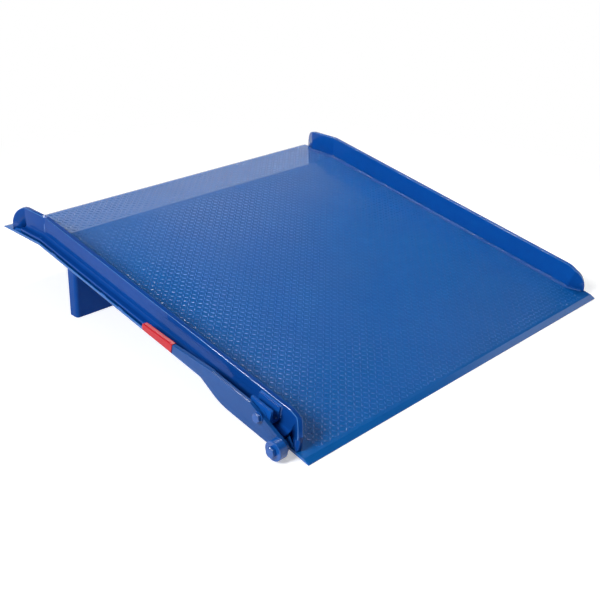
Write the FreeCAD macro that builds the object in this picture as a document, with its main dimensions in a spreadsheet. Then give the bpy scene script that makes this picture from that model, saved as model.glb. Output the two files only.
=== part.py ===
import FreeCAD, Part
import math
import os
from types import SimpleNamespace

import Sketcher

# Steel dock board: a bent tread-plate deck, two angle curbs with flared ends, two locking legs,
# and a hand lever with a roller that lifts the board's dock end.
# X runs across the board, Y from the dock edge to the truck edge, Z up from the floor.

V = FreeCAD.Vector
X_AXIS = V(1, 0, 0)

# Driving sizes in millimetres and degrees
SIZES = {
    # Deck, one sheet with three flats
    "deck_width": 1524.0,
    "deck_plate": 9.5,
    "dock_lip": 103.0,
    "dock_lip_slope": 11.1,
    "main_run": 1196.0,
    "main_slope": 10.15,
    "truck_lip": 225.0,
    "bevel_run": 20.0,
    "edge_left": 3.2,
    # Curb angle
    "curb_height": 85.0,
    "curb_foot": 40.5,
    "curb_plate": 15.9,
    "curb_root": 10.0,
    "curb_toe": 3.0,
    "curb_inset": 3.0,
    # Rounded and flared curb ends
    "dock_setback": 57.8,
    "dock_round": 84.0,
    "dock_flare": 59.3,
    "dock_lean": 9.0,
    "truck_setback": 54.7,
    "truck_round": 61.5,
    "truck_flare": 54.6,
    "truck_lean": 5.0,
    "flare_angle": 29.0,
    # Weld beads
    "curb_weld": 7.0,
    "bracket_weld": 5.0,
    # Locking legs
    "leg_width": 280.0,
    "leg_depth": 40.0,
    "leg_plate": 9.5,
    "leg_bend": 12.0,
    "leg_inset": 32.0,
    "leg_front": 1120.5,
    # Lever bracket
    "bracket_start": 46.0,
    "bracket_length": 82.0,
    "bracket_width": 41.0,
    "bracket_height": 48.5,
    "bracket_base": 27.5,
    "bracket_plate": 9.5,
    # Pivot
    "pivot_along": 75.0,
    "pivot_height": 45.6,
    "pivot_bolt": 15.9,
    "pivot_clearance": 0.1,
    "hole_clearance": 0.4,
    # Lever plate, measured from the pivot along the deck and square to it
    "lever_plate": 12.7,
    "lever_gap": 2.0,
    "side_play": 0.2,
    "handle_reach": 512.0,
    "handle_depth": 27.0,
    "handle_drop": 20.5,
    "handle_taper": 8.0,
    "handle_round": 8.0,
    "step_along": 199.0,
    "step_height": 2.5,
    "step_run": 5.0,
    "lever_top": 22.5,
    "apex_along": 40.0,
    "apex_round": 50.0,
    "belly_depth": 59.0,
    "belly_full": 150.0,
    "belly_round": 200.0,
    "belly_start": 249.0,
    "belly_turn": 100.0,
    "lever_nose": 19.0,
    # Roller
    "roller_ahead": 95.5,
    "roller_below": 37.0,
    "roller_radius": 30.0,
    "roller_length": 29.0,
    "roller_bolt": 19.05,
    "roller_clearance": 0.1,
    "roller_edge": 2.5,
    "roller_gap": 1.6,
    # Grip and rest tab
    "grip_length": 140.0,
    "grip_wall": 2.8,
    "grip_round": 5.0,
    "tab_along": 160.0,
    "tab_length": 26.0,
    "tab_thick": 9.5,
    "tab_reach": 30.0,
    "rest_gap": 0.3,
    # Washers, hex sizes across the flats, the thread past the nut, and the chamfer on a hex
    "washer_thick": 2.5,
    "pivot_washer": 17.0,
    "roller_washer": 17.0,
    "pivot_hex": 27.0,
    "pivot_head": 9.9,
    "pivot_nut": 13.9,
    "pivot_end": 4.0,
    "roller_hex": 28.6,
    "roller_head": 11.9,
    "hex_rim": 0.95,
    "hex_slope": 60.0,
}
d = SimpleNamespace(**SIZES)

doc = FreeCAD.newDocument("DockBoard")
sheet = doc.addObject("Spreadsheet::Sheet", "Sizes")
for row, (alias, number) in enumerate(SIZES.items(), start=1):
    sheet.set(f"A{row}", alias)
    sheet.set(f"B{row}", str(number))
    sheet.setAlias(f"B{row}", alias)
doc.recompute()

pieces = []


# Deck profile: lower corners, upper corners, and the frames that the curbs stand in
def along(point, slope, length):
    """Point reached from another by going up a slope in the side view."""
    angle = math.radians(slope)
    return (point[0] + length * math.cos(angle), point[1] + length * math.sin(angle))


def upper(point, slope_before, slope_after):
    """Top-face corner over a bottom-face corner, on the line that halves the bend."""
    middle = math.radians((slope_before + slope_after) / 2)
    rise = d.deck_plate / math.cos(math.radians(slope_before - slope_after) / 2)
    return (point[0] - rise * math.sin(middle), point[1] + rise * math.cos(middle))


DOCK_EDGE = (0.0, 0.0)
DOCK_BEND = along(DOCK_EDGE, d.dock_lip_slope, d.dock_lip)
TRUCK_BEND = along(DOCK_BEND, d.main_slope, d.main_run)
TRUCK_EDGE = along(TRUCK_BEND, 0.0, d.truck_lip)
DOCK_BEND_TOP = upper(DOCK_BEND, d.dock_lip_slope, d.main_slope)
TRUCK_BEND_TOP = upper(TRUCK_BEND, d.main_slope, 0.0)
MAIN_LENGTH = math.dist(DOCK_BEND_TOP, TRUCK_BEND_TOP)
LIP_LENGTH = TRUCK_EDGE[0] - TRUCK_BEND_TOP[0]

# The main frame lies on the deck's top face: Y up the slope, Z square to the plate.
# The lip frame lies on the level truck lip.
MAIN = FreeCAD.Placement(V(0, *DOCK_BEND_TOP), FreeCAD.Rotation(X_AXIS, d.main_slope))
LIP = FreeCAD.Placement(V(0, *TRUCK_BEND_TOP), FreeCAD.Rotation(X_AXIS, 0))


def origin_plane(body, role):
    """The body's own origin plane with this role."""
    return next(item for item in body.Origin.OriginFeatures if item.Role == role)


def new_body(name, frame=None):
    """A PartDesign body standing in one of the frames."""
    body = doc.addObject("PartDesign::Body", name)
    body.Label = name
    if frame is not None:
        body.Placement = frame
    return body


def pin(sketch, geometry, end, u, v):
    """Hold one end of a side at its two coordinates."""
    sketch.addConstraint(Sketcher.Constraint("DistanceX", -1, 1, geometry, end, u))
    sketch.addConstraint(Sketcher.Constraint("DistanceY", -1, 1, geometry, end, v))


def outline(body, name, role, corners, offset=None):
    """Closed sketch through corners (u, v) or (u, v, radius), the rounded ones as tangent arcs."""
    sketch = body.newObject("Sketcher::SketchObject", name)
    sketch.AttachmentSupport = [(origin_plane(body, role), "")]
    sketch.MapMode = "FlatFace"
    if offset is not None:
        sketch.AttachmentOffset = FreeCAD.Placement(V(0, 0, offset), FreeCAD.Rotation())
    starts, ends, arcs = [], [], []
    count = len(corners)
    for index in range(count):
        corner = V(corners[index][0], corners[index][1], 0)
        radius = corners[index][2] if len(corners[index]) > 2 else 0.0
        before = V(corners[index - 1][0], corners[index - 1][1], 0)
        after = V(corners[(index + 1) % count][0], corners[(index + 1) % count][1], 0)
        back = (before - corner).normalize()
        ahead = (after - corner).normalize()
        half = back.getAngle(ahead) / 2
        reach = radius / math.tan(half) if radius else 0.0
        starts.append(corner + ahead * reach)
        ends.append(corner + back * reach)
        middle = None
        if radius:
            halfway = (back + ahead).normalize()
            centre = corner + halfway * (radius / math.sin(half))
            middle = centre - halfway * radius
        arcs.append((middle, radius))
    for index in range(count):
        following = (index + 1) % count
        side = sketch.addGeometry(Part.LineSegment(starts[index], ends[following]), False)
        pin(sketch, side, 1, starts[index].x, starts[index].y)
        pin(sketch, side, 2, ends[following].x, ends[following].y)
        middle, radius = arcs[following]
        if radius:
            bend = Part.Arc(ends[following], middle, starts[following])
            curve = sketch.addGeometry(bend, False)
            sketch.addConstraint(Sketcher.Constraint("Radius", curve, radius))
    return sketch


def ring(body, name, role, centre, radius, offset=None):
    """Sketch of one circle, pinned at its centre."""
    sketch = body.newObject("Sketcher::SketchObject", name)
    sketch.AttachmentSupport = [(origin_plane(body, role), "")]
    sketch.MapMode = "FlatFace"
    if offset is not None:
        sketch.AttachmentOffset = FreeCAD.Placement(V(0, 0, offset), FreeCAD.Rotation())
    circle = sketch.addGeometry(Part.Circle(V(centre[0], centre[1], 0), V(0, 0, 1), radius), False)
    pin(sketch, circle, 3, centre[0], centre[1])
    sketch.addConstraint(Sketcher.Constraint("Radius", circle, radius))
    return sketch


def pad(body, name, sketch, alias=None, length=None, both_ways=False, reverse=False):
    """Thicken a sketch, its length bound to a cell where it is a driving size."""
    feature = body.newObject("PartDesign::Pad", name)
    feature.Profile = sketch
    feature.Length = length if length is not None else SIZES[alias]
    if both_ways:
        feature.SideType = "Symmetric"
    feature.Reversed = reverse
    if alias is not None:
        feature.setExpression("Length", f"Sizes.{alias}")
    sketch.Visibility = False
    return feature


def pocket(body, name, sketch):
    """Cut a sketch through the whole body, both ways."""
    feature = body.newObject("PartDesign::Pocket", name)
    feature.Profile = sketch
    feature.Type = "ThroughAll"
    feature.SideType = "Symmetric"
    sketch.Visibility = False
    return feature


def keep(item, name):
    """Name a finished piece and put it on the list for export."""
    item.Label = name
    pieces.append(item)
    return item


# Deck: the side view is one closed profile, padded across the full width
def build_deck():
    body = new_body("deck_plate")
    dock_angle = math.radians(d.dock_lip_slope)
    nose = (-d.edge_left * math.sin(dock_angle), d.edge_left * math.cos(dock_angle))
    bevel = along((-d.deck_plate * math.sin(dock_angle), d.deck_plate * math.cos(dock_angle)),
                  d.dock_lip_slope, d.bevel_run)
    deck_top = TRUCK_EDGE[1] + d.deck_plate
    corners = [
        DOCK_EDGE,
        DOCK_BEND,
        TRUCK_BEND,
        TRUCK_EDGE,
        (TRUCK_EDGE[0], TRUCK_EDGE[1] + d.edge_left),
        (TRUCK_EDGE[0] - d.bevel_run, deck_top),
        TRUCK_BEND_TOP,
        DOCK_BEND_TOP,
        bevel,
        nose,
    ]
    profile = outline(body, "DeckProfile", "YZ_Plane", corners)
    pad(body, "DeckSheet", profile, alias="deck_width", both_ways=True)
    return keep(body, "deck_plate")


# Curbs: an upright plate with a rounded end, a foot with a root radius, and a flared end
# bent about a leaning crease on the plate's outboard face
def curb_outer_face(side):
    """X of the upright's outboard face."""
    return side * (d.deck_width / 2 - d.curb_inset - d.curb_foot + d.curb_plate)


def curb_inner_face(side):
    """X of the upright's face towards the deck."""
    return side * (d.deck_width / 2 - d.curb_inset - d.curb_foot)


def build_curb(name, side, frame, end, mitre_at, hole=False):
    """One length of curb in its frame. It runs from its rounded end to the mitre at the bend."""
    way = 1 if mitre_at > end.at else -1
    sink = d.curb_plate
    lean = math.radians(end.lean)
    foot = end.at + way * end.flare
    mitre = math.radians(d.main_slope / 2)
    overrun = way * 2 * d.curb_height * math.tan(mitre)

    # Upright plate, left long at the mitre and deep under the flare
    upright = new_body(name + "_upright")
    corners = [
        (end.at, -sink),
        (end.at, d.curb_height, end.round),
        (mitre_at + overrun, d.curb_height),
        (mitre_at + overrun, -sink),
    ]
    if way < 0:
        corners.reverse()
    side_view = outline(upright, name + "_side", "YZ_Plane", corners, offset=curb_inner_face(side))
    pad(upright, name + "_plate", side_view, alias="curb_plate", reverse=side < 0)

    # Crease line on the outboard face: it starts under the foot and leans towards the end
    crease = V(0, -way * math.sin(lean), math.cos(lean))
    start = V(curb_outer_face(side), foot, 0) - crease * (sink / math.cos(lean))
    block = doc.addObject("Part::Box", name + "_end_block")
    block.Length = 4 * d.curb_plate
    block.Width = 2 * d.curb_height
    block.Height = 3 * d.curb_height
    corner = V(-2 * d.curb_plate, -2 * d.curb_height if way > 0 else 0, -d.curb_height / 2)
    turn = FreeCAD.Rotation(X_AXIS, way * end.lean)
    block.Placement = FreeCAD.Placement(start + turn.multVec(corner), turn)

    straight = doc.addObject("Part::Cut", name + "_straight")
    straight.Base = upright
    straight.Tool = block
    tab = doc.addObject("Part::MultiCommon", name + "_flare")
    tab.Shapes = [upright, block]

    # The tab swings outboard about the crease, and a sector of a cylinder fills the bend
    swing = side * way * d.flare_angle
    spin = FreeCAD.Rotation(crease, swing)
    tab.Placement = FreeCAD.Placement(V(0, 0, 0), spin, start)
    bend = doc.addObject("Part::Cylinder", name + "_bend")
    bend.Radius = d.curb_plate
    bend.setExpression("Radius", "Sizes.curb_plate")
    bend.Angle = d.flare_angle
    bend.setExpression("Angle", "Sizes.flare_angle")
    bend.Height = crease_length(end, foot, way, crease) + sink / math.cos(lean)
    inboard = V(-side, 0, 0)
    first = inboard if swing > 0 else spin.multVec(inboard)
    bend.Placement = FreeCAD.Placement(
        start, FreeCAD.Rotation(first, crease.cross(first), crease, "ZXY"))

    # Foot of the angle with its root radius, starting at the crease
    foot_body = new_body(name + "_foot")
    inner = curb_inner_face(side)
    toe = side * (d.deck_width / 2 - d.curb_inset)
    section = [
        (inner, 0),
        (toe, 0),
        (toe, d.curb_plate, d.curb_toe),
        (curb_outer_face(side), d.curb_plate, d.curb_root),
        (curb_outer_face(side), 2 * d.curb_plate + d.curb_root),
        (inner, 2 * d.curb_plate + d.curb_root),
    ]
    end_view = outline(foot_body, name + "_section", "XZ_Plane", section, offset=-foot)
    pad(foot_body, name + "_run", end_view, length=abs(mitre_at + overrun - foot), reverse=way > 0)

    whole = doc.addObject("Part::MultiFuse", name + "_whole")
    whole.Shapes = [straight, tab, bend, foot_body]

    # What lies under the deck's top face or past the mitre comes off
    under = doc.addObject("Part::Box", name + "_under")
    under.Length = d.deck_width + 4 * d.curb_height
    under.Width = 2 * d.main_run
    under.Height = 4 * d.curb_plate
    under.Placement.Base = V(-under.Length.Value / 2, -d.main_run / 2, -4 * d.curb_plate)
    past = doc.addObject("Part::Box", name + "_past_mitre")
    past.Length = d.deck_width
    past.Width = 2 * d.curb_height
    past.Height = 4 * d.curb_height
    tilt = FreeCAD.Rotation(X_AXIS, -way * d.main_slope / 2)
    back = V(-d.deck_width / 2, 0 if way > 0 else -2 * d.curb_height, -2 * d.curb_height)
    past.Placement = FreeCAD.Placement(V(0, mitre_at, 0) + tilt.multVec(back), tilt)
    waste = [under, past]
    if hole:
        bore = doc.addObject("Part::Cylinder", name + "_bolt_hole")
        bore.Radius = d.pivot_bolt / 2 + d.hole_clearance
        bore.setExpression("Radius", "Sizes.pivot_bolt / 2 + Sizes.hole_clearance")
        bore.Height = 4 * d.curb_plate
        bore.Placement = FreeCAD.Placement(
            V(inner - 2 * d.curb_plate, d.pivot_along, d.pivot_height),
            FreeCAD.Rotation(V(0, 0, 1), X_AXIS))
        waste.append(bore)
    cutter = doc.addObject("Part::MultiFuse", name + "_waste")
    cutter.Shapes = waste
    curb = doc.addObject("Part::Cut", name)
    curb.Base = whole
    curb.Tool = cutter
    curb.Refine = True
    curb.Placement = frame
    return keep(curb, name)


def crease_length(end, foot, way, crease):
    """Length of the crease from the deck to where it leaves the rounded corner."""
    centre = V(0, end.at + way * end.round, d.curb_height - end.round)
    start = V(0, foot, 0) - centre
    middle = start.dot(crease)
    return -middle + math.sqrt(middle * middle - start.dot(start) + end.round ** 2)


# Welds inside the curbs: a plain fillet along each run
def build_curb_weld(name, side):
    runs = []
    for label, frame, first, last in (
        ("main", MAIN, -d.dock_setback + d.dock_flare, MAIN_LENGTH),
        ("lip", LIP, 0.0, LIP_LENGTH - d.truck_setback - d.truck_flare),
    ):
        body = new_body(name + "_" + label, frame)
        inner = curb_inner_face(side)
        corners = [(inner, 0), (inner, d.curb_weld), (inner - side * d.curb_weld, 0)]
        section = outline(body, name + "_" + label + "_section", "XZ_Plane", corners, offset=-first)
        pad(body, name + "_" + label + "_bead", section, length=last - first, reverse=True)
        runs.append(body)
    weld = doc.addObject("Part::Compound", name)
    weld.Links = runs
    return keep(weld, name)


# Locking legs: a plate folded into a channel, cut to the deck's slope at the top
def build_leg(name, side):
    body = new_body(name)
    outer = side * (d.deck_width / 2 - d.leg_inset)
    inner = outer - side * d.leg_width
    wall = d.leg_plate
    front = d.leg_front
    back = front + d.leg_depth
    inside_bend = d.leg_bend - wall
    corners = [
        (outer, back),
        (outer - side * wall, back),
        (outer - side * wall, front + wall, inside_bend),
        (inner + side * wall, front + wall, inside_bend),
        (inner + side * wall, back),
        (inner, back),
        (inner, front, d.leg_bend),
        (outer, front, d.leg_bend),
    ]
    plan = outline(body, name + "_plan", "XY_Plane", corners)
    pad(body, name + "_channel", plan, length=TRUCK_BEND[1])
    slope = math.tan(math.radians(d.main_slope))
    below = [
        (front - wall, DOCK_BEND[1] + (front - wall - DOCK_BEND[0]) * slope),
        (back + wall, DOCK_BEND[1] + (back + wall - DOCK_BEND[0]) * slope),
        (back + wall, 2 * TRUCK_BEND[1]),
        (front - wall, 2 * TRUCK_BEND[1]),
    ]
    above = outline(body, name + "_slope", "YZ_Plane", below)
    pocket(body, name + "_top_cut", above)
    return keep(body, name)


# Lever bracket: a short channel with its back against the curb, open at the top
BRACKET_BACK = curb_outer_face(-1)
BRACKET_FACE = BRACKET_BACK - d.bracket_width
LEVER_BACK = BRACKET_FACE - d.lever_gap
LEVER_FACE = LEVER_BACK - d.lever_plate


def build_bracket():
    body = new_body("lever_bracket", MAIN)
    wall = d.bracket_plate
    bottom = d.bracket_base
    top = bottom + d.bracket_height
    section = [
        (BRACKET_BACK, bottom, wall),
        (BRACKET_BACK, top),
        (BRACKET_BACK - wall, top),
        (BRACKET_BACK - wall, bottom + wall),
        (BRACKET_FACE + wall, bottom + wall),
        (BRACKET_FACE + wall, top),
        (BRACKET_FACE, top),
        (BRACKET_FACE, bottom, wall),
    ]
    end_view = outline(body, "BracketSection", "XZ_Plane", section, offset=-d.bracket_start)
    pad(body, "BracketChannel", end_view, alias="bracket_length", reverse=True)
    bore = ring(body, "BracketBore", "YZ_Plane", (d.pivot_along, d.pivot_height),
                d.pivot_bolt / 2 + d.hole_clearance)
    pocket(body, "BracketHole", bore)
    return keep(body, "lever_bracket")


def build_bracket_weld():
    body = new_body("bracket_weld", MAIN)
    top = d.bracket_base + d.bracket_height
    corners = [
        (BRACKET_BACK, top),
        (BRACKET_BACK, top + d.bracket_weld),
        (BRACKET_BACK - d.bracket_weld, top),
    ]
    section = outline(body, "BracketWeldSection", "XZ_Plane", corners, offset=-d.bracket_start)
    pad(body, "BracketBead", section, alias="bracket_length", reverse=True)
    return keep(body, "bracket_weld")


# Lever: a flat plate with a straight handle, a deep belly and a nose around the roller's bolt
PIVOT = (d.pivot_along, d.pivot_height)
ROLLER = (PIVOT[0] - d.roller_ahead, PIVOT[1] - d.roller_below)
HANDLE_BOTTOM = -d.handle_drop
HANDLE_TOP = HANDLE_BOTTOM + d.handle_depth
GRIP_START = d.handle_reach - d.grip_length


def from_pivot(reach, rise, *rounding):
    """Corner on the lever, given along the deck and square to it from the pivot."""
    return (PIVOT[0] + reach, PIVOT[1] + rise, *rounding)


def nose_corner():
    """Corner over the nose, where the sloping top edge is tangent to the round nose."""
    down = d.lever_top + d.roller_below
    back = d.apex_along + d.roller_ahead
    slope = math.atan2(down, back) - math.asin(d.lever_nose / math.hypot(down, back))
    reach = -d.roller_ahead - d.lever_nose
    return from_pivot(reach, d.lever_top - (d.apex_along - reach) * math.tan(slope), d.lever_nose)


def build_lever():
    body = new_body("lever_arm", MAIN)
    corners = [
        from_pivot(d.handle_reach, HANDLE_BOTTOM, d.handle_round),
        from_pivot(d.handle_reach, HANDLE_TOP - d.handle_taper, d.handle_round),
        from_pivot(GRIP_START, HANDLE_TOP),
        from_pivot(d.step_along, d.lever_top + d.step_height),
        from_pivot(d.step_along - d.step_run, d.lever_top),
        from_pivot(d.apex_along, d.lever_top, d.apex_round),
        nose_corner(),
        from_pivot(-d.roller_ahead - d.lever_nose, -d.belly_depth, d.lever_nose),
        from_pivot(d.belly_full, -d.belly_depth, d.belly_round),
        from_pivot(d.belly_start, HANDLE_BOTTOM, d.belly_turn),
    ]
    side_view = outline(body, "LeverOutline", "YZ_Plane", corners, offset=LEVER_FACE)
    pad(body, "LeverPlate", side_view, alias="lever_plate")
    bore = ring(body, "LeverPivotCircle", "YZ_Plane", PIVOT, d.pivot_bolt / 2 + d.pivot_clearance)
    pocket(body, "LeverPivotBore", bore)
    thread = ring(body, "LeverRollerCircle", "YZ_Plane", ROLLER, d.roller_bolt / 2)
    pocket(body, "LeverRollerBore", thread)
    return keep(body, "lever_arm")


# Rest tab: a flat welded to the lever's back, standing just clear of the curb's foot
def build_tab():
    tab = doc.addObject("Part::Box", "lever_rest_tab")
    for side, alias in (("Length", "tab_reach"), ("Width", "tab_length"), ("Height", "tab_thick")):
        setattr(tab, side, SIZES[alias])
        tab.setExpression(side, f"Sizes.{alias}")
    corner = V(LEVER_BACK, PIVOT[0] + d.tab_along, d.curb_plate + d.rest_gap)
    tab.Placement = MAIN.multiply(FreeCAD.Placement(corner, FreeCAD.Rotation()))
    return keep(tab, "lever_rest_tab")


# Grip: a dipped sleeve that follows the tapered handle and closes over its end
def build_grip(lever):
    body = new_body("grip_block", MAIN)
    wall = d.grip_wall
    corners = [
        from_pivot(GRIP_START, HANDLE_BOTTOM - wall),
        from_pivot(d.handle_reach + wall, HANDLE_BOTTOM - wall, d.handle_round + wall),
        from_pivot(d.handle_reach + wall, HANDLE_TOP - d.handle_taper + wall, d.handle_round + wall),
        from_pivot(GRIP_START, HANDLE_TOP + wall),
    ]
    side_view = outline(body, "GripOutline", "YZ_Plane", corners, offset=LEVER_FACE - wall)
    block = pad(body, "GripBlock", side_view, length=d.lever_plate + 2 * wall)
    doc.recompute()
    faces = (LEVER_FACE - wall, LEVER_BACK + wall)
    start = PIVOT[0] + GRIP_START
    rims = []
    for number, edge in enumerate(block.Shape.Edges, start=1):
        box = edge.BoundBox
        on_face = any(abs(box.XMin - x) < wall / 2 and box.XLength < wall / 2 for x in faces)
        if on_face and box.YMax > start + wall:
            rims.append(f"Edge{number}")
    rounded = body.newObject("PartDesign::Fillet", "GripRound")
    rounded.Base = (block, rims)
    rounded.Radius = d.grip_round
    rounded.setExpression("Radius", "Sizes.grip_round")
    grip = doc.addObject("Part::Cut", "lever_grip")
    grip.Base = body
    grip.Tool = lever
    return keep(grip, "lever_grip")


# Turned and hexagonal fasteners, built along Z and laid along X by their frames
def across(centre, x):
    """Frame with its Z along the board's X, at a bolt centre on the main frame."""
    lay = FreeCAD.Rotation(V(0, 1, 0), V(0, 0, 1), X_AXIS, "ZXY")
    return MAIN.multiply(FreeCAD.Placement(V(x, *centre), lay))


def rod(name, radius, length, base=0.0, expression=None):
    """Plain cylinder along Z."""
    item = doc.addObject("Part::Cylinder", name)
    item.Radius = radius
    if expression:
        item.setExpression("Radius", expression)
    item.Height = length
    item.Placement.Base = V(0, 0, base)
    return item


def hexagon(name, flats, height, base=0.0):
    """Hexagon with its outer end chamfered by a cone, as on a forged head or a nut."""
    prism = doc.addObject("Part::Prism", name + "_hexagon")
    prism.Polygon = 6
    prism.Circumradius = flats / math.sqrt(3)
    prism.Height = height
    prism.Placement.Base = V(0, 0, base)
    cone = doc.addObject("Part::Cone", name + "_chamfer")
    cone.Radius1 = d.hex_rim * flats / 2
    cone.Radius2 = cone.Radius1.Value + height * math.tan(math.radians(d.hex_slope))
    cone.Height = height
    cone.Placement.Base = V(0, 0, base)
    head = doc.addObject("Part::MultiCommon", name + "_form")
    head.Shapes = [prism, cone]
    return head


def hex_bolt(name, frame, flats, head_height, shank_alias, shank_length):
    """Bolt whose head ends at the frame's origin and whose shank runs on along its Z."""
    head = hexagon(name, flats, head_height, base=-head_height)
    shank = rod(name + "_shank", SIZES[shank_alias] / 2, shank_length + head_height / 2,
                base=-head_height / 2, expression=f"Sizes.{shank_alias} / 2")
    bolt = doc.addObject("Part::MultiFuse", name)
    bolt.Shapes = [head, shank]
    bolt.Placement = frame
    return keep(bolt, name)


def washer(name, frame, radius_alias, hole, thickness):
    """Flat ring on the frame's origin."""
    disc = rod(name + "_disc", SIZES[radius_alias], thickness, expression=f"Sizes.{radius_alias}")
    core = rod(name + "_core", hole, thickness)
    item = doc.addObject("Part::Cut", name)
    item.Base = disc
    item.Tool = core
    item.Placement = frame
    return keep(item, name)


def build_pivot():
    hole = d.pivot_bolt / 2 + d.hole_clearance
    under_head = LEVER_FACE - d.side_play - d.washer_thick
    inner_face = curb_inner_face(-1)
    end = inner_face + d.washer_thick + d.pivot_nut + d.pivot_end
    hex_bolt("pivot_bolt", across(PIVOT, under_head), d.pivot_hex, d.pivot_head,
             "pivot_bolt", end - under_head)
    washer("pivot_washer", across(PIVOT, under_head), "pivot_washer", hole, d.washer_thick)
    washer("pivot_spacer", across(PIVOT, LEVER_BACK + d.side_play), "pivot_washer", hole,
           d.lever_gap - d.side_play)
    washer("pivot_nut_washer", across(PIVOT, inner_face), "pivot_washer", hole, d.washer_thick)
    form = hexagon("pivot_nut", d.pivot_hex, d.pivot_nut)
    core = rod("pivot_nut_core", d.pivot_bolt / 2, d.pivot_nut, expression="Sizes.pivot_bolt / 2")
    nut = doc.addObject("Part::Cut", "pivot_nut")
    nut.Base = form
    nut.Tool = core
    turned = FreeCAD.Placement(V(0, 0, d.pivot_nut), FreeCAD.Rotation(X_AXIS, 180))
    nut.Placement = across(PIVOT, inner_face + d.washer_thick).multiply(turned)
    keep(nut, "pivot_nut")


# Roller: a turned drum on a shoulder bolt that screws into the lever's nose
def build_roller():
    near = LEVER_FACE - d.roller_gap
    far = near - d.roller_length
    washer("roller_washer", across(ROLLER, near + d.side_play), "roller_washer",
           d.roller_bolt / 2 + d.roller_clearance, d.roller_gap - d.side_play)
    hex_bolt("roller_bolt", across(ROLLER, far - d.side_play), d.roller_hex, d.roller_head,
             "roller_bolt", LEVER_BACK - far + d.side_play)
    body = new_body("roller", across(ROLLER, far))
    bore = d.roller_bolt / 2 + d.roller_clearance
    corners = [
        (bore, 0),
        (d.roller_radius, 0, d.roller_edge),
        (d.roller_radius, d.roller_length, d.roller_edge),
        (bore, d.roller_length),
    ]
    section = outline(body, "RollerSection", "XZ_Plane", corners)
    drum = body.newObject("PartDesign::Revolution", "RollerDrum")
    drum.Profile = section
    drum.ReferenceAxis = (section, ["V_Axis"])
    drum.Angle = 360.0
    section.Visibility = False
    return keep(body, "roller")


build_deck()
DOCK_END = SimpleNamespace(
    at=-d.dock_setback, round=d.dock_round, flare=d.dock_flare, lean=d.dock_lean)
TRUCK_END = SimpleNamespace(
    at=LIP_LENGTH - d.truck_setback, round=d.truck_round, flare=d.truck_flare, lean=d.truck_lean)
for side, word in ((-1, "left"), (1, "right")):
    build_curb(f"curb_{word}_main", side, MAIN, DOCK_END, MAIN_LENGTH, hole=side < 0)
    build_curb(f"curb_{word}_lip", side, LIP, TRUCK_END, 0.0)
    build_curb_weld(f"curb_weld_{word}", side)
    build_leg(f"locking_leg_{word}", side)
build_bracket()
build_bracket_weld()
lever_arm = build_lever()
build_tab()
build_grip(lever_arm)
build_pivot()
build_roller()
doc.recompute()

# Every object is sound before anything is written
for item in doc.Objects:
    if "Invalid" in item.State or "Error" in item.State:
        raise RuntimeError(f"{item.Name} did not compute: {item.State}")
for item in pieces:
    if item.Shape.isNull() or not item.Shape.isValid():
        raise RuntimeError(f"{item.Label} has no valid shape")

os.makedirs("parts", exist_ok=True)
for item in pieces:
    item.Shape.exportStep(os.path.join("parts", item.Label + ".step"))
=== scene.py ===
import math

import bpy
from mathutils import Matrix, Vector, noise


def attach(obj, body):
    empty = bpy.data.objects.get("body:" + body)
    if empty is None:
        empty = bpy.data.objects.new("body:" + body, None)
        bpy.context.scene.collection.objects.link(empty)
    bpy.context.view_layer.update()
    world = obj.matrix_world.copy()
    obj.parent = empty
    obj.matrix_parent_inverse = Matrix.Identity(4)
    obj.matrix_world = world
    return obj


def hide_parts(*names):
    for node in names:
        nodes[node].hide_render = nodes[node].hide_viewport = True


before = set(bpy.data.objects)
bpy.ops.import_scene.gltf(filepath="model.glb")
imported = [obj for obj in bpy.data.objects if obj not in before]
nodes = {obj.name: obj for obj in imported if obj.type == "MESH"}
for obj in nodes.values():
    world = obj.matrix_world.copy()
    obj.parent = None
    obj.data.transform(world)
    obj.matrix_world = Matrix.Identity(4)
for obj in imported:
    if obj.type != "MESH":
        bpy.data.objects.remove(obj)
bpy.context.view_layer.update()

MM = 0.001


# Deck plate: one sheet of rolled tread plate, bent twice and ground to a bevel at both edges.
# It is hot-rolled steel with a raised four-way pattern, sprayed with blue enamel after welding.
DECK_PLATE = 9.5
DOCK_LIP = 103.0
DOCK_SLOPE = math.radians(11.1)
MAIN_RUN = 1196.0
MAIN_SLOPE = math.radians(10.15)
TRUCK_LIP = 225.0
BEVEL_RUN = 20.0


def bend_top(y, z, before, after):
    """Top corner of the plate over a bottom corner, on the line that halves the bend."""
    middle = (before + after) / 2
    rise = DECK_PLATE / math.cos((before - after) / 2)
    return y - rise * math.sin(middle), z + rise * math.cos(middle)


dock_bend = (DOCK_LIP * math.cos(DOCK_SLOPE), DOCK_LIP * math.sin(DOCK_SLOPE))
truck_bend = (dock_bend[0] + MAIN_RUN * math.cos(MAIN_SLOPE),
              dock_bend[1] + MAIN_RUN * math.sin(MAIN_SLOPE))
main_origin = bend_top(*dock_bend, DOCK_SLOPE, MAIN_SLOPE)
lip_origin = bend_top(*truck_bend, MAIN_SLOPE, 0.0)
main_length = math.dist(main_origin, lip_origin)
lip_length = truck_bend[0] + TRUCK_LIP - lip_origin[0]


def flat(origin, slope):
    """Matrix of one flat of the deck: X across, Y up the slope, Z square to the plate."""
    place = Vector((0, origin[0], origin[1])) * MM
    return Matrix.Translation(place) @ Matrix.Rotation(slope, 4, "X")


DOCK_FLAT = flat(main_origin, DOCK_SLOPE)
MAIN_FLAT = flat(main_origin, MAIN_SLOPE)
TRUCK_FLAT = flat(lip_origin, 0.0)


def paint_colour(code):
    """sRGB hex value as linear red, green, blue and full alpha."""
    parts = [int(code[i:i + 2], 16) / 255 for i in (1, 3, 5)]
    return [c / 12.92 if c <= 0.04045 else ((c + 0.055) / 1.055) ** 2.4 for c in parts] + [1.0]


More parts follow.
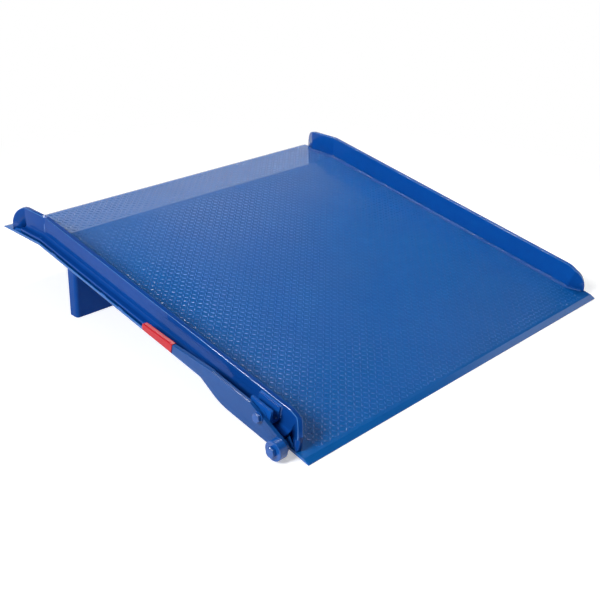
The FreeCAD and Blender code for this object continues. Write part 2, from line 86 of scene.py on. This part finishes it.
def add_node(material, kind, settings=(), links=()):
    """One node with its settings, linked from (node, output) pairs to its inputs."""
    tree = material.node_tree
    node = tree.nodes.new(kind)
    for name, value in dict(settings).items():
        if isinstance(name, int) or name in node.inputs:
            node.inputs[name].default_value = value
        else:
            setattr(node, name, value)
    for name, (source, output) in dict(links).items():
        tree.links.new(source.outputs[output], node.inputs[name])
    return node


def per_metre(size):
    """Texture scale for a pattern whose features are this many millimetres across."""
    return 1 / (size * MM)


def blue_enamel(name, colour, deep, gloss=0.1, peel=14.0, relief=0.05, shine=0.5):
    """Sprayed machine enamel: glossy, slightly deeper where the coat ran thick, and with
    orange peel. Real peel is 2 to 4 mm across, so it is drawn coarser to show at all."""
    paint = bpy.data.materials.new(name)
    paint.use_nodes = True
    paint.node_tree.nodes.clear()
    place = add_node(paint, "ShaderNodeTexCoord")
    coat = add_node(paint, "ShaderNodeTexNoise",
                    {"Scale": per_metre(210), "Detail": 3.0, "Roughness": 0.55},
                    {"Vector": (place, "Object")})
    mist = add_node(paint, "ShaderNodeTexNoise",
                    {"Scale": per_metre(34), "Detail": 4.0, "Roughness": 0.6},
                    {"Vector": (place, "Object")})
    both = add_node(paint, "ShaderNodeMath", {"operation": "MULTIPLY"},
                    {0: (coat, "Fac"), 1: (mist, "Fac")})
    spread = add_node(paint, "ShaderNodeMapRange",
                      {"From Min": 0.12, "From Max": 0.42}, {"Value": (both, "Value")})
    tint = add_node(paint, "ShaderNodeMix",
                    {"data_type": "RGBA", 6: paint_colour(deep), 7: paint_colour(colour)},
                    {"Factor": (spread, "Result")})
    rough = add_node(paint, "ShaderNodeMapRange",
                     {"To Min": gloss - 0.03, "To Max": gloss + 0.05},
                     {"Value": (mist, "Fac")})
    peel_noise = add_node(paint, "ShaderNodeTexNoise",
                          {"Scale": per_metre(peel), "Detail": 2.0, "Roughness": 0.5},
                          {"Vector": (place, "Object")})
    bump = add_node(paint, "ShaderNodeBump", {"Strength": relief, "Distance": 0.4 * MM},
                    {"Height": (peel_noise, "Fac")})
    shader = add_node(paint, "ShaderNodeBsdfPrincipled",
                      {"IOR": 1.5, "Specular IOR Level": shine},
                      {"Base Color": (tint, 2), "Roughness": (rough, "Result"),
                       "Normal": (bump, "Normal")})
    add_node(paint, "ShaderNodeOutputMaterial", {}, {"Surface": (shader, "BSDF")})
    return paint


deck_enamel = blue_enamel("deck_enamel_sprayed", "#0A5FAD", "#095AA6")


def finish_node(name, material, edge, turn=28):
    """Give a CAD node its finish and the rounded arris that paint leaves on its corners.
    A corner that turns by fewer degrees than turn is part of a curve and stays as it is."""
    node = nodes[name]
    node.data.materials.clear()
    node.data.materials.append(material)
    node.data.shade_smooth()
    joined = node.modifiers.new("joined_faces", "WELD")
    joined.merge_threshold = 0.01 * MM
    arris = node.modifiers.new("rounded_arris", "BEVEL")
    arris.width = edge * MM
    arris.segments = 2
    arris.limit_method = "ANGLE"
    arris.angle_limit = math.radians(turn)
    # One short edge of the mesh would otherwise shrink the arris on all the others.
    arris.use_clamp_overlap = False
    level = node.modifiers.new("level_flats", "WEIGHTED_NORMAL")
    level.weight = 80
    return node, arris


# The press brake leaves a crisp line at each bend, which turns by only 10 degrees or less.
finish_node("deck_plate", deck_enamel, edge=0.9, turn=5)


# Tread lugs: the raised lens-shaped bars of four-way floor plate, each set square to its
# neighbours and at 45 degrees to the deck's edges. They are rolled into the sheet itself.
LUG_LENGTH = 16.0
LUG_WIDTH = 5.6
LUG_HEIGHT = 1.6
LUG_PITCH_ACROSS = 17.0
LUG_PITCH_ALONG = 15.82
LUG_START = (3.0, 26.0)
LUG_CLEAR_OF_WELD = 9.0
CURB_INNER = 718.5
# The coat runs together over a lug's crown and dries there to a smooth, bright skin.
lug_enamel = blue_enamel("lug_enamel_sprayed", "#0C61B0", "#0B5CA9", gloss=0.1, relief=0.0,
                         shine=0.68)


def make_piece(name, points, faces, material, body, slot):
    """Smooth-shaded mesh that rides on a body and takes the given material. The slot is not used.
    """
    mesh = bpy.data.meshes.new(name)
    mesh.from_pydata(points, [], faces)
    mesh.shade_smooth()
    mesh.materials.append(material)
    piece = bpy.data.objects.new(name, mesh)
    bpy.context.scene.collection.objects.link(piece)
    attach(piece, body)
    return piece


def lug_form():
    """Points and faces of one lug along X: a foot ring, a shoulder ring and a short ridge."""
    # Each ring's length, width and height are shares of the lug's own. The foot is sunk a little.
    foot, shoulder, ridge_share = (1.0, 1.0, -0.1), (0.76, 0.74, 0.62), 0.3
    points = []
    for reach, width, height in (foot, shoulder):
        for step in range(8):
            turn = math.pi * step / 4
            points.append((reach * LUG_LENGTH / 2 * math.cos(turn),
                           width * LUG_WIDTH / 2 * math.sin(turn), height * LUG_HEIGHT))
    ridge = ridge_share * LUG_LENGTH / 2
    points += [(ridge, 0, LUG_HEIGHT), (-ridge, 0, LUG_HEIGHT)]
    faces = [(i, (i + 1) % 8, 8 + (i + 1) % 8, 8 + i) for i in range(8)]
    faces += [(15, 8, 16), (8, 9, 16), (9, 10, 16), (10, 17, 16), (10, 11, 17),
              (11, 12, 17), (12, 13, 17), (13, 14, 17), (14, 16, 17), (14, 15, 16)]
    return points, faces


def lay_lugs(name, place, first, last):
    """One mesh of lugs on one flat, from one distance up the slope to another."""
    form, form_faces = lug_form()
    quarter = math.pi / 4
    points, faces = [], []
    reach = CURB_INNER - LUG_CLEAR_OF_WELD - LUG_LENGTH / 2
    rows = range(math.ceil((first - LUG_START[1]) / LUG_PITCH_ALONG),
                 math.floor((last - LUG_START[1]) / LUG_PITCH_ALONG) + 1)
    columns = range(math.ceil((-reach - LUG_START[0]) / LUG_PITCH_ACROSS),
                    math.floor((reach - LUG_START[0]) / LUG_PITCH_ACROSS) + 1)
    for row in rows:
        for column in columns:
            lean = quarter if (row + column) % 2 == 0 else -quarter
            across = LUG_START[0] + column * LUG_PITCH_ACROSS
            along = LUG_START[1] + row * LUG_PITCH_ALONG
            base = len(points)
            for x, y, z in form:
                points.append(place @ (Vector((
                    across + x * math.cos(lean) - y * math.sin(lean),
                    along + x * math.sin(lean) + y * math.cos(lean), z)) * MM))
            faces += [tuple(base + corner for corner in face) for face in form_faces]
    make_piece(name, points, faces, lug_enamel, "board", "deck_enamel")


# The lugs keep clear of the ground bevels, and run closer to a bend than to an edge.
lug_margin = LUG_LENGTH / 2 * 0.8
lay_lugs("tread_lugs_dock", DOCK_FLAT, -DOCK_LIP + BEVEL_RUN + lug_margin, -lug_margin / 3)
lay_lugs("tread_lugs_main", MAIN_FLAT, lug_margin / 3, main_length - lug_margin / 3)
# The rows of the truck lip count on from those of the main run.
unrolled = TRUCK_FLAT @ Matrix.Translation(Vector((0, -main_length, 0)) * MM)
lay_lugs("tread_lugs_truck", unrolled, main_length + lug_margin / 3,
         main_length + lip_length - BEVEL_RUN - lug_margin)


# Curbs: hot-rolled angle along both sides, cut and bent at the ends, mitred at the bend.
# The upright's arrises keep the roll's radius, and they show as long bright lines, partly lit and
# partly a painted highlight.
curb_enamel = {
    # One paint in fact. The left curb stands away from the light, so its coat is drawn deeper as
    # painted shade.
    "left": blue_enamel("curb_enamel_painted_shade", "#0C4696", "#0B418E", gloss=0.09, shine=0.1),
    "right": blue_enamel("curb_enamel_sprayed", "#0E58B0", "#0D52A9", gloss=0.09, shine=0.2),
}
# Wet paint draws thin and smooth over an arris. Its colour is drawn paler as a painted highlight,
# so that the line shows.
arris_enamel = blue_enamel("arris_enamel_painted_highlight", "#3D7CC4", "#3474BC", gloss=0.16, relief=0.0,
                           shine=1.0)
CURB_PLATE = 15.9
ARRIS_FROM = 34.0


def round_upper_arrises(node, arris, place):
    """Round only a curb's upper arrises, in the paler coat that is their painted highlight. The
    CAD mesh is open along each sharp corner, so they are its free edges above the foot, less those
    across the plate."""
    uses = [0] * len(node.data.edges)
    for loop in node.data.loops:
        uses[loop.edge_index] += 1
    weights = node.data.attributes.new("bevel_weight_edge", "FLOAT", "EDGE")
    to_flat = place.inverted() @ node.matrix_world
    for edge in node.data.edges:
        a, b = ((to_flat @ node.data.vertices[i].co) / MM for i in edge.vertices)
        across = abs((a - b).length - CURB_PLATE) < 1.0
        if uses[edge.index] == 1 and min(a.z, b.z) > ARRIS_FROM and not across:
            weights.data[edge.index].value = 1.0
    node.data.materials.append(arris_enamel)
    arris.material = 1
    arris.limit_method = "WEIGHT"
    arris.use_clamp_overlap = True


for side in ("left", "right"):
    for run, place in (("main", MAIN_FLAT), ("lip", TRUCK_FLAT)):
        curb, arris = finish_node(f"curb_{side}_{run}", curb_enamel[side], edge=1.6)
        round_upper_arrises(curb, arris, place)


# Weld beads: each curb is welded to the deck by hand, with a fillet along its inside.
# Each bead is a row of overlapping crescents, uneven where the welder stopped, and painted.
CURB_OUTER = 734.4
CURB_WELD = 7.5
FLARE_ANGLE = math.radians(29)
DOCK_CREASE = 1.5
DOCK_TAB = 59.3
TRUCK_END_GAP = 54.7
TRUCK_TAB = 54.6
TRUCK_CREASE = lip_length - TRUCK_END_GAP - TRUCK_TAB
STEPS_PER_RIPPLE = 3
UNEVEN_EVERY = 11.0
weld_enamel = blue_enamel("weld_enamel_sprayed", "#1860B4", "#1355A8", gloss=0.12, peel=3.0,
                          relief=0.8, shine=1.0)


def bead(runs, seed, ripple=3.4, roundness=0.5, uneven=0.16):
    """Points and faces of fillet beads. A run is a list of stations (corner, up leg, out leg)
    in millimetres, and the bead swells and sinks along it once in each ripple."""
    points, faces = [], []
    arc = 6
    for number, run in enumerate(runs):
        stations = []
        for (a, up_a, out_a), (b, up_b, out_b) in zip(run, run[1:]):
            steps = max(1, round((b - a).length / ripple * STEPS_PER_RIPPLE))
            for step in range(steps):
                t = step / steps
                stations.append((a.lerp(b, t), up_a.lerp(up_b, t), out_a.lerp(out_b, t)))
        stations.append(run[-1])
        travelled = 0.0
        base = len(points)
        for index, (corner, up, out) in enumerate(stations):
            if index:
                travelled += (corner - stations[index - 1][0]).length
            wave = (travelled / ripple) % 1.0
            chance = noise.noise(Vector((travelled / UNEVEN_EVERY, seed, number)))
            size = 1.0 - uneven * (0.5 - wave) + uneven * 1.4 * chance
            end = min(index, len(stations) - 1 - index)
            size *= min(1.0, 0.55 + 0.25 * end)
            lag = (1 - math.cos(math.pi * wave)) * 0.1
            points.append(corner * MM)
            for k in range(arc + 1):
                t = k / arc
                bulge = 1 + roundness * math.sin(math.pi * t) * (0.55 + lag)
                u, w = (1 - t) * size * bulge, t * size * bulge
                points.append((corner + up * min(u, 1.0 + 0.1 * size)
                               + out * min(w, 1.0 + 0.1 * size)) * MM)
        ring = arc + 2
        for index in range(len(stations) - 1):
            here, there = base + index * ring, base + (index + 1) * ring
            for k in range(ring):
                m = (k + 1) % ring
                faces.append((here + k, here + m, there + m, there + k))
        faces.append(tuple(base + k for k in range(ring)))
        last = base + (len(stations) - 1) * ring
        faces.append(tuple(last + k for k in reversed(range(ring))))
    return points, faces


def on_flat(place, x, along, up):
    """Point on one flat of the deck, in millimetres in the board's frame."""
    return (place @ (Vector((x, along, up)) * MM)) / MM


def station(place, x, along, leg, toward):
    """Station of a bead on the deck: its legs rise from the deck and run out on it."""
    corner = on_flat(place, x, along, 0)
    up = on_flat(place, x, along, leg) - corner
    out = on_flat(place, x + toward[0] * leg, along + toward[1] * leg, 0) - corner
    return corner, up, out


def tab_line(side, place, crease, way, run, inner):
    """Stations along the foot of a flared end, from the crease to a distance up the tab."""
    ahead = Vector((side * math.sin(FLARE_ANGLE), -way * math.cos(FLARE_ANGLE)))
    inward = Vector((-side * math.cos(FLARE_ANGLE), -way * math.sin(FLARE_ANGLE)))
    hinge = Vector((side * CURB_OUTER, crease))
    first = hinge + inward * CURB_PLATE if inner else hinge
    toward = inward if inner else -inward
    return [station(place, *(first + ahead * reach), CURB_WELD * 0.85, toward)
            for reach in (0.0, run)]


SIDES = ((-1, "left"), (1, "right"))
# The inner bead stops short of each tab's round end, and the outer one shorter still.
INNER_DOCK_RUN, INNER_TRUCK_RUN = DOCK_TAB - 9, TRUCK_TAB - 6
OUTER_DOCK_RUN, OUTER_TRUCK_RUN = 44, 46
for side, word in SIDES:
    inward = (-side, 0)
    straight = [
        station(MAIN_FLAT, side * CURB_INNER, DOCK_CREASE, CURB_WELD, inward),
        station(MAIN_FLAT, side * CURB_INNER, main_length, CURB_WELD, inward),
        station(TRUCK_FLAT, side * CURB_INNER, TRUCK_CREASE, CURB_WELD, inward),
    ]
    dock_tab = tab_line(side, MAIN_FLAT, DOCK_CREASE, 1, INNER_DOCK_RUN, True)
    truck_tab = tab_line(side, TRUCK_FLAT, TRUCK_CREASE, -1, INNER_TRUCK_RUN, True)
    run = dock_tab[::-1] + straight + truck_tab
    form = bead([run], 3.1 + side, ripple=4.2, roundness=0.6, uneven=0.34)
    seam = make_piece(f"curb_bead_{word}", *form, weld_enamel, "board", "weld_enamel")
    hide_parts(f"curb_weld_{word}")
    ends = [tab_line(side, MAIN_FLAT, DOCK_CREASE, 1, OUTER_DOCK_RUN, False),
            tab_line(side, TRUCK_FLAT, TRUCK_CREASE, -1, OUTER_TRUCK_RUN, False)]
    form = bead(ends, 8.2 + side)
    make_piece(f"flare_bead_{word}", *form, weld_enamel, "board", "weld_enamel")


# Mitre seams: each curb is cut through at the bend of the deck and butt welded back together.
# The seam crosses the foot and climbs the outer face, low and only half ground away.
SEAM_HALF = 3.2
SEAM_RISE = 2.6
SEAM_ACROSS_FOOT = (756.0, 744.0)
SEAM_UP_FACE = (27.0, 62.0)


def seam_station(x, height, normal):
    """Station of a butt seam over the mitre, on a face with this normal."""
    corner = on_flat(TRUCK_FLAT, x - normal[0] * SEAM_RISE, 0, height - normal[1] * SEAM_RISE)
    rise = on_flat(TRUCK_FLAT, x, 0, height) - corner
    along = Vector((0, SEAM_HALF, 0))
    return corner, rise - along, rise + along


for side, word in SIDES:
    seams = [[seam_station(side * x, CURB_PLATE, (0, 1)) for x in SEAM_ACROSS_FOOT],
             [seam_station(side * CURB_OUTER, z, (side, 0)) for z in SEAM_UP_FACE]]
    form = bead(seams, 6.4 + side, ripple=3.2)
    make_piece(f"mitre_seam_{word}", *form, weld_enamel, "board", "weld_enamel")


# Stitch welds: short runs that hold the foot of each curb to the deck's edge.
# They sit in the narrow step between the foot's toe and the edge of the sheet.
STITCH_LENGTH = 26.0
STITCH_LEG = 2.8
STITCH_ALONG = (180.0, 457.0, 735.0, 826.0, 1107.0)
CURB_TOE = 759.0
for side, word in SIDES:
    stitches = [[station(MAIN_FLAT, side * CURB_TOE, along + shift, STITCH_LEG, (side, 0))
                 for shift in (-STITCH_LENGTH / 2, STITCH_LENGTH / 2)]
                for along in STITCH_ALONG]
    form = bead(stitches, 5.7 + side, ripple=3.0)
    make_piece(f"stitch_welds_{word}", *form, weld_enamel, "board", "weld_enamel")


# Locking legs: folded plate channels under the deck that drop in front of the dock's face.
# They are welded all round to the underside and painted with the rest.
# Their colour is drawn darker than the deck's as painted shade, since the legs stand under the
# deck.
leg_enamel = blue_enamel("leg_enamel_painted_shade", "#104A98", "#0F4390", gloss=0.14, shine=0.06)
for word in ("left", "right"):
    finish_node(f"locking_leg_{word}", leg_enamel, edge=0.8)


# Lever bracket: a short channel welded on edge to the curb, open at the top.
# The bead along its back is close and bright, and it carries the pivot bolt.
BRACKET_WELD = 5.0
BRACKET_START = 46.0
BRACKET_END = 128.0
BRACKET_TOP = 76.0
BRACKET_BASE = 27.5
BRACKET_PLATE = 9.5
BRACKET_WIDTH = 41.0
bracket_enamel = blue_enamel("bracket_enamel_sprayed", "#1156AC", "#104FA3", gloss=0.09,
                             shine=0.25)
finish_node("lever_bracket", bracket_enamel, edge=0.8)


def bracket_station(x, along, height, rise, reach, leg):
    """Station of a bead on the bracket, with its two legs along given directions."""
    corner = on_flat(MAIN_FLAT, x, along, height)
    up = on_flat(MAIN_FLAT, x + rise[0] * leg, along + rise[1] * leg, height + rise[2] * leg)
    out = on_flat(MAIN_FLAT, x + reach[0] * leg, along + reach[1] * leg, height + reach[2] * leg)
    return corner, up - corner, out - corner


top_bead = [bracket_station(-CURB_OUTER, along, BRACKET_TOP, (0, 0, 1), (-1, 0, 0), BRACKET_WELD)
            for along in (BRACKET_START, BRACKET_END)]
form = bead([top_bead], 1.4, ripple=4.2, uneven=0.34)
seam = make_piece("bracket_top_bead", *form, weld_enamel, "board", "weld_enamel")
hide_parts("bracket_weld")
FOLD_WELD = 3.4
BRACKET_END_WELD = 4.2
WELD_INSET = 2
bracket_floor = BRACKET_BASE + BRACKET_PLATE
back_face = -CURB_OUTER - BRACKET_PLATE
front_face = -CURB_OUTER - BRACKET_WIDTH + BRACKET_PLATE
corners = [[bracket_station(x, along, bracket_floor, (0, 0, 1), (way, 0, 0), FOLD_WELD)
            for along in (BRACKET_START + WELD_INSET, BRACKET_END - WELD_INSET)]
           for x, way in ((back_face, -1), (front_face, 1))]
corners += [[bracket_station(-CURB_OUTER, along, height, (0, way, 0), (-1, 0, 0),
                             BRACKET_END_WELD)
             for height in (bracket_floor, BRACKET_TOP)]
            for along, way in ((BRACKET_START, -1), (BRACKET_END, 1))]
form = bead(corners, 9.3, ripple=3.6, uneven=0.3)
make_piece("bracket_corner_beads", *form, weld_enamel, "board", "weld_enamel")


# Lever: a flame-cut plate with a deep belly, ground smooth and painted on its own.
# Its rest tab is a flat welded to the back, which stops it on the curb's foot.
lever_enamel = blue_enamel("lever_enamel_sprayed", "#114C92", "#0F478B", gloss=0.13, shine=0.25)
finish_node("lever_arm", lever_enamel, edge=1.0)
finish_node("lever_rest_tab", lever_enamel, edge=0.8)


# Grip: a vinyl sleeve dipped over the handle, soft and slightly waxy.
# Its red varies a little with the thickness of the dip, and its skin has a fine grain.
red_vinyl = bpy.data.materials.new("red_vinyl_dipped")
red_vinyl.use_nodes = True
red_vinyl.node_tree.nodes.clear()
place = add_node(red_vinyl, "ShaderNodeTexCoord")
mottle = add_node(red_vinyl, "ShaderNodeTexNoise",
                  {"Scale": per_metre(26), "Detail": 4.0}, {"Vector": (place, "Object")})
vinyl_tint = add_node(red_vinyl, "ShaderNodeMix",
                      {"data_type": "RGBA", 6: paint_colour("#B01A26"),
                       7: paint_colour("#C42834")},
                      {"Factor": (mottle, "Fac")})
vinyl_rough = add_node(red_vinyl, "ShaderNodeMapRange", {"To Min": 0.28, "To Max": 0.45},
                       {"Value": (mottle, "Fac")})
grain = add_node(red_vinyl, "ShaderNodeTexNoise", {"Scale": per_metre(3.0), "Detail": 2.0},
                 {"Vector": (place, "Object")})
vinyl_bump = add_node(red_vinyl, "ShaderNodeBump", {"Strength": 0.15, "Distance": 0.3 * MM},
                      {"Height": (grain, "Fac")})
vinyl = add_node(red_vinyl, "ShaderNodeBsdfPrincipled", {"IOR": 1.5, "Specular IOR Level": 0.3},
                 {"Base Color": (vinyl_tint, 2), "Roughness": (vinyl_rough, "Result"),
                  "Normal": (vinyl_bump, "Normal")})
add_node(red_vinyl, "ShaderNodeOutputMaterial", {}, {"Surface": (vinyl, "BSDF")})
finish_node("lever_grip", red_vinyl, edge=0.8)


# Fasteners: forged hex bolts, nut and washers, painted in place with the board.
# The coat rounds their corners and fills the joint under each head.
fastener_enamel = blue_enamel("fastener_enamel_sprayed", "#1259AB", "#104F9F", gloss=0.12)
for name in ("pivot_bolt", "pivot_nut", "roller_bolt"):
    finish_node(name, fastener_enamel, edge=0.7)
for name in ("pivot_washer", "pivot_spacer", "pivot_nut_washer", "roller_washer"):
    finish_node(name, fastener_enamel, edge=0.3)


# Roller: a turned steel drum on its shoulder bolt, which carries the dock end on the floor.
# Its rim is painted with the rest, in a coat that is a little duller than the deck's.
roller_enamel = blue_enamel("roller_enamel_rolled", "#1259AB", "#104F9F", gloss=0.16)
finish_node("roller", roller_enamel, edge=0.6)


# Setting: a pale studio floor that keeps the object's shadow, with white all round.
# The white stands low round the object, as on a cove, and the ceiling over it is dark.
WHITE = (1.0, 1.0, 1.0, 1.0)
floor_paint = bpy.data.materials.new("studio_floor")
floor_paint.use_nodes = True
floor_paint.node_tree.nodes.clear()


def background_rays(material):
    """Node that is 1 for the rays that show the background: camera, glossy and transmission."""
    ray = add_node(material, "ShaderNodeLightPath")
    first = add_node(material, "ShaderNodeMath", {"operation": "MAXIMUM"},
                     {0: (ray, "Is Camera Ray"), 1: (ray, "Is Glossy Ray")})
    return add_node(material, "ShaderNodeMath", {"operation": "MAXIMUM"},
                    {0: (first, "Value"), 1: (ray, "Is Transmission Ray")})


where = add_node(floor_paint, "ShaderNodeTexCoord")
away = add_node(floor_paint, "ShaderNodeVectorMath", {"operation": "LENGTH"},
                {0: (where, "Object")})
fade = add_node(floor_paint, "ShaderNodeMapRange",
                {"From Min": 1.0, "From Max": 2.3, "interpolation_type": "SMOOTHSTEP"},
                {"Value": (away, "Value")})
matte = add_node(floor_paint, "ShaderNodeBsdfDiffuse", {"Color": (0.85, 0.85, 0.85, 1.0)})
glow = add_node(floor_paint, "ShaderNodeEmission", {"Color": WHITE, "Strength": 0.42})
lit = add_node(floor_paint, "ShaderNodeAddShader", {}, {0: (matte, "BSDF"), 1: (glow, "Emission")})
plain = add_node(floor_paint, "ShaderNodeEmission", {"Color": WHITE, "Strength": 1.0})
cove = add_node(floor_paint, "ShaderNodeMixShader", {},
                {0: (fade, "Result"), 1: (lit, "Shader"), 2: (plain, "Emission")})
seen = add_node(floor_paint, "ShaderNodeMixShader", {},
                {0: (background_rays(floor_paint), "Value"), 1: (matte, "BSDF"),
                 2: (cove, "Shader")})
add_node(floor_paint, "ShaderNodeOutputMaterial", {}, {"Surface": (seen, "Shader")})
FLOOR_HALF = 30.0
floor_mesh = bpy.data.meshes.new("floor")
floor_mesh.from_pydata([(-FLOOR_HALF, -FLOOR_HALF, 0), (FLOOR_HALF, -FLOOR_HALF, 0),
                        (FLOOR_HALF, FLOOR_HALF, 0), (-FLOOR_HALF, FLOOR_HALF, 0)],
                       [], [(0, 1, 2, 3)])
floor_mesh.materials.append(floor_paint)
floor = bpy.data.objects.new("floor", floor_mesh)
floor.location = (0.0, 0.75, 0.0)
bpy.context.scene.collection.objects.link(floor)

studio = bpy.data.worlds.new("studio")
bpy.context.scene.world = studio
studio.use_nodes = True
studio.node_tree.nodes.clear()
heading = add_node(studio, "ShaderNodeTexCoord")
parts = add_node(studio, "ShaderNodeSeparateXYZ", {}, {"Vector": (heading, "Generated")})
ring = add_node(studio, "ShaderNodeMapRange",
                {"From Min": 0.22, "From Max": 0.40, "To Min": 1.0, "To Max": 0.04,
                 "interpolation_type": "SMOOTHSTEP"},
                {"Value": (parts, "Z")})
bright = ring
# The wall behind the truck end is lit higher up, and a small panel stands off the dock end.
for aim, start, full, strength in (((0.605, 0.736, 0.303), 0.91, 0.98, 1.0),
                                   ((0.827, -0.158, 0.538), 0.984, 0.995, 1.2)):
    facing = add_node(studio, "ShaderNodeVectorMath", {"operation": "DOT_PRODUCT", 1: aim},
                      {0: (heading, "Generated")})
    panel = add_node(studio, "ShaderNodeMapRange",
                     {"From Min": start, "From Max": full, "To Min": 0.0, "To Max": strength,
                      "interpolation_type": "SMOOTHSTEP"},
                     {"Value": (facing, "Value")})
    bright = add_node(studio, "ShaderNodeMath", {"operation": "MAXIMUM"},
                      {0: (bright, 0), 1: (panel, "Result")})
backdrop = add_node(studio, "ShaderNodeBackground", {"Color": WHITE},
                    {"Strength": (bright, "Value")})
fill = add_node(studio, "ShaderNodeBackground", {"Color": WHITE, "Strength": 0.12})
around = add_node(studio, "ShaderNodeMixShader", {},
                  {0: (background_rays(studio), "Value"), 1: (fill, "Background"),
                   2: (backdrop, "Background")})
add_node(studio, "ShaderNodeOutputWorld", {}, {"Surface": (around, "Shader")})

centre = Vector((0.0, 0.75, 0.15))


def softbox(name, place, width, height, power, shows=True, lights=True):
    """Flat area lamp aimed at the middle of the board, which may light without showing in
    the gloss (shows) or show there as a highlight without lighting the paint (lights)."""
    lamp = bpy.data.lights.new(name, "AREA")
    lamp.shape = "RECTANGLE"
    lamp.size = width
    lamp.size_y = height
    lamp.energy = power
    box = bpy.data.objects.new(name, lamp)
    box.location = place
    box.rotation_mode = "QUATERNION"
    box.rotation_quaternion = (centre - Vector(place)).to_track_quat("-Z", "Y")
    box.visible_glossy = shows
    box.visible_diffuse = lights
    bpy.context.scene.collection.objects.link(box)


softbox("left_box", (-5.5, 0.6, 3.9), 2.0, 2.0, 380.0, shows=False)
softbox("right_box", (3.1, 0.2, 2.6), 1.6, 1.6, 22.0, shows=False)
softbox("overhead_box", (0.9, 1.6, 3.7), 0.8, 0.8, 48.0, shows=False)
softbox("highlight_panel", (0.9, 1.6, 3.7), 1.1, 1.1, 300.0, lights=False)

scene = bpy.context.scene
scene.view_settings.view_transform = "Standard"

# Camera: a long lens from over the near corner of the dock end, a little off level.
# Its frame is cut off centre, as the photograph's is, which the two shifts give.
camera_data = bpy.data.cameras.new("camera")
camera_data.sensor_width = 36.0
camera_data.lens = 57.379
camera_data.shift_x = 0.04652
camera_data.shift_y = -0.00496
camera_data.clip_start = 0.05
camera_data.clip_end = 200.0
camera = bpy.data.objects.new("camera", camera_data)
CAMERA_PLACE = Vector((-2.32089, -1.39576, 1.50805))
CAMERA_YAW = math.radians(45.1711)
CAMERA_PITCH = math.radians(-25.8541)
CAMERA_ROLL = math.radians(1.5841)
ahead = Vector((math.sin(CAMERA_YAW) * math.cos(CAMERA_PITCH),
                math.cos(CAMERA_YAW) * math.cos(CAMERA_PITCH), math.sin(CAMERA_PITCH)))
across = Vector((math.cos(CAMERA_YAW), -math.sin(CAMERA_YAW), 0.0))
upward = across.cross(ahead)
right = across * math.cos(CAMERA_ROLL) + upward * math.sin(CAMERA_ROLL)
up = upward * math.cos(CAMERA_ROLL) - across * math.sin(CAMERA_ROLL)
turned = Matrix((right, up, -ahead)).transposed().to_4x4()
camera.matrix_world = Matrix.Translation(CAMERA_PLACE) @ turned
scene.collection.objects.link(camera)
scene.camera = camera
